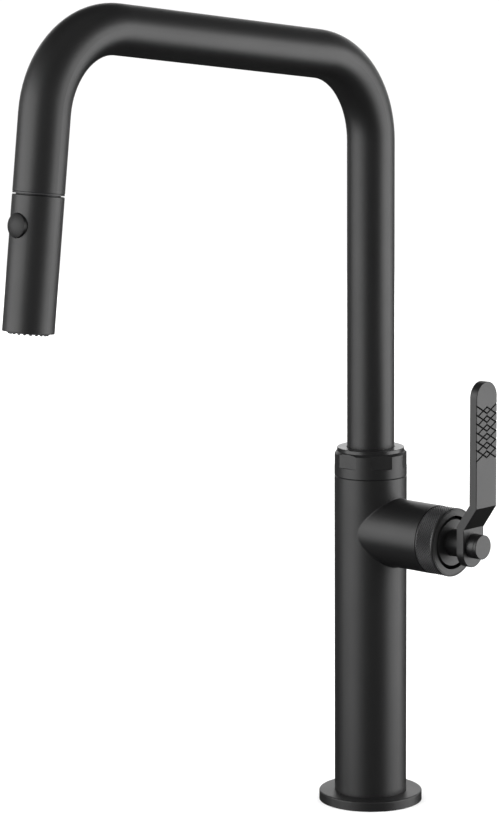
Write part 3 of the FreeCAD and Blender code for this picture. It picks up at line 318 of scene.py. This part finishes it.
def surface(name, rgb, roughness, spread=0.04, grain=1400.0, cloud=22.0, relief=0.3, contrast=0.12,
            edge=None, edge_reach=0.0004, edge_amount=0.5, **shader):
    """A finish with grain, cloudiness and lighter edges, rubbed wear on most finishes and a painted
    highlight on the knurl; the rest is set on the shader.
    """
    material, tree, principled = new_material(name)
    texture = group_node(
        tree, bpy.data.node_groups["surface_grain"], Grain_scale=grain, Cloud_scale=cloud,
        Dark=shade(rgb, 1 - contrast), Light=shade(rgb, 1 + contrast),
        Low_roughness=roughness - spread, High_roughness=roughness + spread, Relief=relief)
    wire(tree, texture, "Roughness", principled, "Roughness")
    wire(tree, texture, "Normal", principled, "Normal")
    if edge is None:
        wire(tree, texture, "Color", principled, "Base Color")
    else:
        mask = group_node(tree, bpy.data.node_groups["rubbed_and_highlit_edges"], Reach=edge_reach, Amount=edge_amount)
        colour = mixed(tree)
        wire(tree, mask, "Mask", colour, "Factor")
        tree.links.new(texture.outputs["Color"], colour.inputs[MIX_FIRST])
        colour.inputs[MIX_SECOND].default_value = (*edge, 1.0)
        tree.links.new(colour.outputs[MIX_RESULT], principled.inputs["Base Color"])
    for socket, value in shader.items():
        principled.inputs[socket.replace("_", " ")].default_value = value
    return material


def dull_and_shade_grooves(material, face, depth):
    """Leave the coat dull on the floor of the grooves cut below a face that looks along +X, and paint it
    near black there as painted shade.
    """
    tree = material.node_tree
    principled = tree.nodes["Principled BSDF"]
    place = add_node(tree, "ShaderNodeTexCoord")
    split = add_node(tree, "ShaderNodeSeparateXYZ")
    wire(tree, place, "Object", split, "Vector")
    below = add_node(tree, "ShaderNodeMath", operation="LESS_THAN", inputs={1: face - depth / 4})
    above = add_node(tree, "ShaderNodeMath", operation="GREATER_THAN", inputs={1: face - 2 * depth})
    wire(tree, split, "X", below, 0)
    wire(tree, split, "X", above, 0)
    facing = add_node(tree, "ShaderNodeSeparateXYZ")
    wire(tree, place, "Normal", facing, "Vector")
    outward = add_node(tree, "ShaderNodeMath", operation="GREATER_THAN", inputs={1: FACING_OUT})
    wire(tree, facing, "X", outward, 0)
    band = add_node(tree, "ShaderNodeMath", operation="MULTIPLY")
    wire(tree, below, 0, band, 0)
    wire(tree, above, 0, band, 1)
    shaded_groove_floor = add_node(tree, "ShaderNodeMath", operation="MULTIPLY")
    wire(tree, band, 0, shaded_groove_floor, 0)
    wire(tree, outward, 0, shaded_groove_floor, 1)
    given = principled.inputs["Roughness"].links[0].from_socket
    dull = add_node(tree, "ShaderNodeMapRange", inputs={"To Max": 1.0})
    wire(tree, shaded_groove_floor, 0, dull, "Value")
    tree.links.new(given, dull.inputs["To Min"])
    wire(tree, dull, "Result", principled, "Roughness")
    # painted shade: the groove floors are coloured near black
    colour = mixed(tree)
    wire(tree, shaded_groove_floor, 0, colour, "Factor")
    tree.links.new(principled.inputs["Base Color"].links[0].from_socket, colour.inputs[MIX_FIRST])
    colour.inputs[MIX_SECOND].default_value = GROOVE_PAINTED_SHADE
    tree.links.new(colour.outputs[MIX_RESULT], principled.inputs["Base Color"])
    return material


def machined(name, rgb, roughness, axis, grooves=2600.0):
    """Turned or drawn metal: fine tool lines across the axis, with tarnish clouds."""
    material, tree, principled = new_material(name)
    place = add_node(tree, "ShaderNodeTexCoord")
    stretch = add_node(tree, "ShaderNodeMapping")
    stretch.inputs["Scale"].default_value = [1.0 if part else 0.04 for part in axis]
    wire(tree, place, "Object", stretch, "Vector")
    lines = add_node(tree, "ShaderNodeTexNoise", inputs={"Scale": grooves, "Detail": 2.0})
    wire(tree, stretch, "Vector", lines, "Vector")
    bump = add_node(tree, "ShaderNodeBump", inputs={"Distance": 0.00002, "Strength": 0.35})
    wire(tree, lines, "Fac", bump, "Height")
    texture = group_node(
        tree, bpy.data.node_groups["surface_grain"], Grain_scale=900.0, Cloud_scale=30.0,
        Dark=shade(rgb, 0.82), Light=shade(rgb, 1.1), Low_roughness=roughness - 0.05,
        High_roughness=roughness + 0.07, Relief=0.2)
    wire(tree, texture, "Color", principled, "Base Color")
    wire(tree, texture, "Roughness", principled, "Roughness")
    wire(tree, bump, "Normal", principled, "Normal")
    principled.inputs["Metallic"].default_value = 1.0
    return material


def braid_material(name, settings, colour, line_point, line_axis):
    """Two sets of strands that wind opposite ways round a straight line, over and under each other."""
    material, tree, principled = new_material(name)
    place = add_node(tree, "ShaderNodeTexCoord")
    turn = add_node(tree, "ShaderNodeMapping", vector_type="POINT")
    straight = line_axis.rotation_difference(Z_AXIS).to_matrix()
    turn.inputs["Rotation"].default_value = straight.to_euler()
    turn.inputs["Location"].default_value = -(straight @ line_point)
    wire(tree, place, "Object", turn, "Vector")
    split = add_node(tree, "ShaderNodeSeparateXYZ")
    wire(tree, turn, "Vector", split, "Vector")
    angle = add_node(tree, "ShaderNodeMath", operation="ARCTAN2")
    wire(tree, split, "Y", angle, 0)
    wire(tree, split, "X", angle, 1)
    along = add_node(tree, "ShaderNodeMath", operation="MULTIPLY", inputs={1: 2 * math.pi / settings.lay})
    wire(tree, split, "Z", along, 0)
    waves = []
    for way in ("ADD", "SUBTRACT"):
        wound = add_node(tree, "ShaderNodeMath", operation=way)
        wire(tree, angle, 0, wound, 0)
        wire(tree, along, 0, wound, 1)
        phase = add_node(tree, "ShaderNodeMath", operation="MULTIPLY", inputs={1: settings.strands / 2})
        wire(tree, wound, 0, phase, 0)
        wave = add_node(tree, "ShaderNodeMath", operation="SINE")
        wire(tree, phase, 0, wave, 0)
        waves.append(wave)
    weave = add_node(tree, "ShaderNodeMath", operation="MULTIPLY")
    wire(tree, waves[0], 0, weave, 0)
    wire(tree, waves[1], 0, weave, 1)
    height = add_node(tree, "ShaderNodeMapRange", inputs={"From Min": -1.0, "From Max": 1.0})
    wire(tree, weave, 0, height, "Value")
    fibre = add_node(tree, "ShaderNodeTexNoise", inputs={"Scale": 2600.0, "Detail": 2.0})
    wire(tree, place, "Object", fibre, "Vector")
    both = add_node(tree, "ShaderNodeMath", operation="MULTIPLY_ADD", inputs={1: 0.25})
    wire(tree, fibre, "Fac", both, 0)
    wire(tree, height, "Result", both, 2)
    bump = add_node(tree, "ShaderNodeBump", inputs={"Distance": 0.0006, "Strength": 0.8})
    wire(tree, both, 0, bump, "Height")
    # painted shade and painted highlight: the colour is darker where the weave dips and lighter on its
    # crests
    strand = mixed(tree)
    wire(tree, height, "Result", strand, "Factor")
    strand.inputs[MIX_FIRST].default_value = shade(colour, 0.45)
    strand.inputs[MIX_SECOND].default_value = shade(colour, 1.6)
    tree.links.new(strand.outputs[MIX_RESULT], principled.inputs["Base Color"])
    rough = add_node(tree, "ShaderNodeMapRange", inputs={"To Min": 0.5, "To Max": 0.68})
    wire(tree, fibre, "Fac", rough, "Value")
    wire(tree, rough, "Result", principled, "Roughness")
    wire(tree, bump, "Normal", principled, "Normal")
    principled.inputs["Sheen Weight"].default_value = 0.15
    return material


def make_finishes(finish):
    """Every material by the record's slot name."""
    grain_group()
    edge_group()
    coat = tuple(finish.coat_colour)
    rough = finish.coat_roughness
    edge = tuple(3.0 * part for part in coat)
    return {
        "black_metal": surface("satin_black_coat", coat, rough, edge=edge),
        "black_lever": dull_and_shade_grooves(
            surface("satin_black_lever", coat, rough - 0.02, edge=edge, edge_amount=0.8),
            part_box("lever_blade")[1].x, LEVER_GROOVE),
        "black_ring": surface("satin_black_ring", shade(coat, 1.3)[:3], rough - 0.12, edge=edge),
        # painted highlight: the knurl's coat is four times lighter than the body's and its edges nine
        # times lighter, for the light its facets catch
        "knurled_coat_painted_highlight": surface("knurled_coat_painted_highlight", shade(coat, 4.0)[:3], rough - 0.06,
                                edge=shade(coat, 9.0)[:3], edge_reach=0.0002, edge_amount=0.9),
        "black_shell": surface("satin_black_shell", coat, rough, edge=edge, grain=1700.0),
        "button_plastic": surface("button_black", shade(coat, 0.7)[:3], rough + 0.06, relief=0.2,
                                  Specular_IOR_Level=0.4),
        "dark_plastic": surface("moulded_black", (0.012, 0.012, 0.013), 0.5, grain=1800.0, relief=0.5),
        "white_plastic": surface("moulded_white", (0.72, 0.72, 0.69), 0.42, grain=1500.0, relief=0.4,
                                 contrast=0.05, Subsurface_Weight=0.08),
        "brass": machined("machined_brass", tuple(finish.brass_colour), 0.30, (0, 0, 1)),
        "steel": machined("turned_steel", (0.58, 0.58, 0.59), 0.30, (0, 0, 1)),
        "magnet": surface("nickel_magnet", (0.52, 0.50, 0.47), 0.26, Metallic=1.0, grain=700.0),
        "seal_rubber": surface("seal_rubber", (0.022, 0.022, 0.022), 0.62, grain=2200.0, relief=0.7),
        "nozzle_rubber": surface("nozzle_silicone", (0.034, 0.034, 0.036), 0.5, grain=1900.0, relief=0.5),
        "ceramic_disc": surface("lapped_ceramic", (0.80, 0.78, 0.74), 0.16, spread=0.05, grain=2400.0,
                                contrast=0.03, relief=0.15),
    }


# ---------------------------------------------------------------- modelling helpers
def clear_selection():
    """Leave nothing selected or active."""
    for thing in bpy.context.view_layer.objects:
        thing.select_set(False)
    bpy.context.view_layer.objects.active = None


def settled(piece, name):
    """Give the active piece its name and put its place into its mesh."""
    piece.name = name
    piece.data.name = name
    clear_selection()
    piece.select_set(True)
    bpy.context.view_layer.objects.active = piece
    bpy.ops.object.transform_apply(location=True, rotation=True, scale=True)
    return piece


def finished(piece, material, angle=30.0):
    """Merge doubles, point the faces outwards, shade by angle and give the finish."""
    clear_selection()
    piece.select_set(True)
    bpy.context.view_layer.objects.active = piece
    bpy.ops.object.mode_set(mode="EDIT")
    bpy.ops.mesh.select_all(action="SELECT")
    bpy.ops.mesh.remove_doubles(threshold=TOUCHING)
    bpy.ops.mesh.normals_make_consistent(inside=False)
    bpy.ops.object.mode_set(mode="OBJECT")
    bpy.ops.object.shade_smooth_by_angle(angle=math.radians(angle))
    piece.data.materials.clear()
    piece.data.materials.append(material)
    piece.select_set(False)
    return piece


def advance(distance):
    """Extrude the selected loop along the valve."""
    bpy.ops.mesh.extrude_region_move(TRANSFORM_OT_translate={"value": (distance, 0, 0)})


def shrink_loop(factor, place):
    """Extrude the selected loop to another radius about the valve's axis."""
    bpy.ops.mesh.extrude_region_move()
    bpy.ops.transform.resize(
        value=(1, factor, factor), center_override=(place, VALVE_PIVOT.y, VALVE_PIVOT.z))


def draw_out(vector):
    """Extrude the selected loop along a vector."""
    bpy.ops.mesh.extrude_region_move(TRANSFORM_OT_translate={"value": vector})


def resize_loop(factor, centre):
    """Extrude the selected loop to another size about its own centre."""
    bpy.ops.mesh.extrude_region_move()
    bpy.ops.transform.resize(value=(factor, factor, factor), center_override=centre)


def hose_start(name, radius, place, direction):
    """A loop of the hose at a place, selected in edit mode."""
    clear_selection()
    bpy.ops.mesh.primitive_circle_add(
        vertices=HOSE_SIDES, radius=radius, location=place,
        rotation=Z_AXIS.rotation_difference(direction).to_euler())
    hose = settled(bpy.context.object, name)
    bpy.ops.object.mode_set(mode="EDIT")
    bpy.ops.mesh.select_all(action="SELECT")
    return hose


def hose_done(hose, material):
    """Close the ends, give the sheath its finish and hide the CAD hose."""
    bpy.ops.mesh.select_all(action="SELECT")
    bpy.ops.mesh.fill_holes(sides=0)
    bpy.ops.object.mode_set(mode="OBJECT")
    finished(hose, material)
    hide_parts("spray_hose")


def drawn_hose(settings, colour):
    """Straight length in the leg, from inside the spout to where it enters the ferrule."""
    start = HEAD_JOINT + LEG * HOSE_TOP
    end = HEAD_JOINT + LEG * HOSE_FOOT
    hose = hose_start("spray_hose_drawn", settings.diameter / 2, start, LEG)
    for _ in range(HOSE_RINGS):
        draw_out((end - start) / HOSE_RINGS)
    hose_done(hose, braid_material("braided_sheath", settings, colour, HEAD_JOINT, LEG))
    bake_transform(hose)


def fed_hose(settings, colour):
    """Length from below the shank, up the column, round both bends and down into the leg."""
    foot = Vector((0.0, 0.0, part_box("spray_hose")[0].z))
    mouth = foot + Z_AXIS * HOSE_MOUTH
    top = Vector((0.0, 0.0, COLUMN_TOP))
    arm = Vector((0.0, -math.cos(ARM_RISE), math.sin(ARM_RISE)))
    turn = math.pi / 2 - ARM_RISE
    bend_1 = top - Y_AXIS * BEND_1_R
    arm_start = bend_1 + Matrix.Rotation(turn, 3, "X") @ (Y_AXIS * BEND_1_R)
    arm_end = arm_start + arm * ARM_LENGTH
    bend_2 = arm_end + Vector((0.0, -math.sin(ARM_RISE), -math.cos(ARM_RISE))) * BEND_2_R
    leg_turn = arm.angle(LEG)
    leg_start = bend_2 + Matrix.Rotation(leg_turn, 3, "X") @ (arm_end - bend_2)
    hose = hose_start("spray_hose_fed", HOSE_BORE * settings.diameter / 2, mouth, Z_AXIS)
    draw_out(foot - mouth)
    resize_loop(1 / HOSE_BORE, foot)
    draw_out(top - foot)
    bpy.ops.mesh.spin(steps=BEND_STEPS, angle=-turn, center=bend_1, axis=X_AXIS)
    draw_out(arm_end - arm_start)
    bpy.ops.mesh.spin(steps=BEND_STEPS, angle=-leg_turn, center=bend_2, axis=X_AXIS)
    draw_out(HEAD_JOINT + LEG * HOSE_TOP - leg_start)
    hose_done(hose, braid_material("braided_sheath_in_column", settings, colour, foot, Z_AXIS))
    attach(hose, "spout")


def raise_points(knurl, axis, valley, step, settings):
    """Pull every other point of the grid outwards, row by row in turn, into diamond points."""
    first = RING_LOW.x + KNURL_BORDER
    half_turn = math.pi / settings.count
    clear_selection()
    knurl.select_set(True)
    bpy.context.view_layer.objects.active = knurl
    for vertex in knurl.data.vertices:
        out = Vector((0.0, vertex.co.y - axis.y, vertex.co.z - axis.z))
        row = round((vertex.co.x - first) / step)
        inside = abs((vertex.co.x - first) / step - row) < ROW_MATCH and 0 < row < settings.rows
        place = round(math.atan2(out.z, out.y) / half_turn)
        outermost = abs(out.length - valley) < TOUCHING
        vertex.select = inside and outermost and (row + place) % 2 == 0
    bpy.ops.object.mode_set(mode="EDIT")
    scale = (valley + settings.depth) / valley
    bpy.ops.transform.resize(value=(1, scale, scale), center_override=(0, axis.y, axis.z))
    bpy.ops.mesh.select_all(action="SELECT")
    bpy.ops.mesh.quads_convert_to_tris(quad_method="SHORTEST_DIAGONAL")
    bpy.ops.object.mode_set(mode="OBJECT")


# ---------------------------------------------------------------- operators
materials_by_slot = {}


class FAUCET_OT_finishes(Operator):
    """Make the finishes and give every CAD node the one of its slot"""
    bl_idname = "faucet.finishes"
    bl_label = "Finishes on the CAD nodes"

    def execute(self, context):
        materials_by_slot.update(make_finishes(context.scene.faucet_finish))
        for row in frame["record"]["subparts"]:
            if row["material_slot"] == HOSE_SLOT:
                continue
            node = frame["nodes"][row["node"]]
            node.data.materials.clear()
            node.data.materials.append(materials_by_slot[row["material_slot"]])
        return {"FINISHED"}


class FAUCET_OT_knurl(Operator):
    """Cut the diamond knurl round the ring behind the valve's bezel"""
    bl_idname = "faucet.knurl"
    bl_label = "Knurled ring"

    def execute(self, context):
        settings = context.scene.faucet_knurl
        outer = (RING_HIGH.z - RING_LOW.z) / 2
        rows = settings.rows
        step = (RING_HIGH.x - RING_LOW.x - 2 * KNURL_BORDER) / rows
        valley = outer - settings.depth
        clear_selection()
        start = (RING_LOW.x, VALVE_PIVOT.y, VALVE_PIVOT.z)
        bpy.ops.mesh.primitive_circle_add(
            vertices=2 * settings.count, radius=valley, location=start, rotation=(0, math.pi / 2, 0))
        knurl = settled(bpy.context.object, "knurled_ring_skin")
        axis = Vector((0.0, VALVE_PIVOT.y, VALVE_PIVOT.z))
        bpy.ops.object.mode_set(mode="EDIT")
        bpy.ops.mesh.select_all(action="SELECT")
        advance(KNURL_BORDER)
        for _ in range(rows):
            advance(step)
        advance(KNURL_BORDER)
        shrink_loop(KNURL_RING_WALL, RING_HIGH.x)
        advance(RING_LOW.x - RING_HIGH.x)
        shrink_loop(1 / KNURL_RING_WALL, RING_LOW.x)
        bpy.ops.object.mode_set(mode="OBJECT")
        raise_points(knurl, axis, valley, step, settings)
        finished(knurl, materials_by_slot["knurled_coat_painted_highlight"], angle=12.0)
        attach(knurl, "body")
        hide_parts("knurled_ring")
        return {"FINISHED"}


class FAUCET_OT_hose(Operator):
    """Weave the spray hose: one length fed up the spout and one short straight length in the leg"""
    bl_idname = "faucet.hose"
    bl_label = "Braided spray hose"

    def execute(self, context):
        settings = context.scene.faucet_hose
        colour = tuple(context.scene.faucet_finish.hose_colour)
        fed_hose(settings, colour)
        drawn_hose(settings, colour)
        return {"FINISHED"}


class FAUCET_OT_stage(Operator):
    """Set the pale floor, the soft lights and the camera"""
    bl_idname = "faucet.stage"
    bl_label = "Floor, lights and camera"

    def execute(self, context):
        studio = context.scene.faucet_studio
        make_floor()
        make_lights(studio)
        make_camera(studio)
        return {"FINISHED"}


# ---------------------------------------------------------------- studio
VIEW_AZIMUTH = math.radians(41.3)
CAMERA_PAN = -0.0370       # radians
CAMERA_PITCH = -0.1600
CAMERA_ROLL = -0.0053
FLOOR_HALF = 30.0
# the room's brightness by height: 0 straight down, 0.5 level, 1 straight up
ROOM_STOPS = ((0.12, 0.22), (0.9, 0.05), (0.38, 0.0), (0.5, 0.95), (0.62, 1.0), (0.75, 0.35))


def make_floor():
    """Pale floor, large enough to fill the view."""
    clear_selection()
    bpy.ops.mesh.primitive_plane_add(size=2 * FLOOR_HALF, location=(0, 0, 0))
    floor = settled(bpy.context.object, "floor")
    material, _, principled = new_material("pale_floor")
    principled.inputs["Base Color"].default_value = (0.93, 0.93, 0.93, 1.0)
    principled.inputs["Roughness"].default_value = 0.9
    principled.inputs["Specular IOR Level"].default_value = 0.1
    floor.data.materials.append(material)
    floor.visible_glossy = False


def softbox(name, azimuth, elevation, distance, width, height, power, aim=Vector((0, -0.08, 0.22))):
    """A soft rectangular light at a bearing from the object, aimed at it."""
    data = bpy.data.lights.new(name, "AREA")
    data.shape = "RECTANGLE"
    data.size = width
    data.size_y = height
    data.energy = power
    lamp = bpy.data.objects.new(name, data)
    bpy.context.scene.collection.objects.link(lamp)
    turn = math.radians(azimuth)
    lift = math.radians(elevation)
    back = Vector((math.sin(turn) * math.cos(lift), -math.cos(turn) * math.cos(lift), math.sin(lift)))
    lamp.location = aim + back * distance
    lamp.rotation_mode = "QUATERNION"
    lamp.rotation_quaternion = (-back).to_track_quat("-Z", "Y")
    lamp.visible_camera = False
    return lamp


def make_lights(studio):
    """Side softboxes, an overhead one, and a room that is bright to the eye but dim in reflections."""
    view = math.degrees(VIEW_AZIMUTH)
    softbox("left_softbox", view - 65, 6, 1.6, 2.1, 1.6, studio.left_light)
    softbox("right_softbox", view + 87, 0, 1.6, 1.9, 1.4, studio.right_light)
    softbox("top_softbox", view + 20, 78, 1.6, 1.4, 1.4, studio.top_light)
    softbox("back_softbox", view + 180, 13, 2.4, 2.8, 1.1, studio.back_light)
    world = bpy.data.worlds.new("studio")
    bpy.context.scene.world = world
    world.use_nodes = True
    tree = world.node_tree
    back = tree.nodes["Background"]
    path = add_node(tree, "ShaderNodeLightPath")
    bearing = add_node(tree, "ShaderNodeTexCoord")
    split = add_node(tree, "ShaderNodeSeparateXYZ")
    wire(tree, bearing, "Generated", split, "Vector")
    lift = add_node(tree, "ShaderNodeMapRange", inputs={"From Min": -1.0, "From Max": 1.0})
    wire(tree, split, "Z", lift, "Value")
    walls = add_node(tree, "ShaderNodeValToRGB")
    stops = walls.color_ramp.elements
    stops[0].position, stops[0].color = ROOM_STOPS[0][0], [ROOM_STOPS[0][1]] * 3 + [1]
    stops[1].position, stops[1].color = ROOM_STOPS[1][0], [ROOM_STOPS[1][1]] * 3 + [1]
    for place, level in ROOM_STOPS[2:]:
        stops.new(place).color = [level] * 3 + [1]
    wire(tree, lift, "Result", walls, "Fac")
    shine = add_node(tree, "ShaderNodeMath", operation="MULTIPLY", inputs={1: studio.room_shine})
    tree.links.new(walls.outputs["Color"], shine.inputs[0])
    dim = add_node(tree, "ShaderNodeMapRange", inputs={"To Min": studio.room_light})
    wire(tree, path, "Is Glossy Ray", dim, "Value")
    wire(tree, shine, 0, dim, "To Max")
    wire(tree, dim, "Result", back, "Strength")
    back.inputs["Color"].default_value = (1.0, 1.0, 1.0, 1.0)
    bpy.context.scene.view_settings.view_transform = "Standard"
    bpy.context.scene.view_settings.look = "None"


def make_camera(studio):
    """Camera in front of the faucet, turned to show the spout on its left and the lever on its right."""
    data = bpy.data.cameras.new("camera")
    data.lens = studio.lens
    data.sensor_width = 36.0
    camera = bpy.data.objects.new("camera", data)
    bpy.context.scene.collection.objects.link(camera)
    cos_pitch = math.cos(CAMERA_PITCH)
    forward = Vector((
        math.sin(CAMERA_PAN) * cos_pitch, math.cos(CAMERA_PAN) * cos_pitch, math.sin(CAMERA_PITCH)))
    right = Vector((math.cos(CAMERA_PAN), -math.sin(CAMERA_PAN), 0.0))
    up = right.cross(forward)
    rolled_right = right * math.cos(CAMERA_ROLL) + up * math.sin(CAMERA_ROLL)
    rolled_up = up * math.cos(CAMERA_ROLL) - right * math.sin(CAMERA_ROLL)
    turn = Matrix((rolled_right, rolled_up, -forward)).transposed()
    place = Matrix.Translation(Vector((0, -studio.distance, studio.height))) @ turn.to_4x4()
    camera.matrix_world = Matrix.Rotation(VIEW_AZIMUTH, 4, "Z") @ place
    bpy.context.scene.camera = camera


# ---------------------------------------------------------------- panel and registration
class FAUCET_PT_panel(Panel):
    """The faucet's settings and steps"""
    bl_label = "Faucet"
    bl_idname = "FAUCET_PT_panel"
    bl_space_type = "VIEW_3D"
    bl_region_type = "UI"
    bl_category = "Faucet"

    def draw(self, context):
        layout = self.layout
        for name in SETTINGS:
            group = getattr(context.scene, name)
            for key in group.bl_rna.properties.keys():
                if key not in {"rna_type", "name"}:
                    layout.prop(group, key)
        for step in STEPS:
            layout.operator(step.bl_idname)


SETTINGS = {
    "faucet_finish": FaucetFinish,
    "faucet_knurl": FaucetKnurl,
    "faucet_hose": FaucetHose,
    "faucet_studio": FaucetStudio,
}
STEPS = [FAUCET_OT_finishes, FAUCET_OT_knurl, FAUCET_OT_hose, FAUCET_OT_stage]


def register():
    for kind in [*SETTINGS.values(), *STEPS, FAUCET_PT_panel]:
        bpy.utils.register_class(kind)
    for name, kind in SETTINGS.items():
        setattr(bpy.types.Scene, name, PointerProperty(type=kind))


def unregister():
    for name in SETTINGS:
        delattr(bpy.types.Scene, name)
    for kind in [FAUCET_PT_panel, *reversed(STEPS), *SETTINGS.values()]:
        bpy.utils.unregister_class(kind)


def main():
    register()
    for step in STEPS:
        group, action = step.bl_idname.split(".")
        getattr(getattr(bpy.ops, group), action)()


if __name__ == "__main__":
    main()
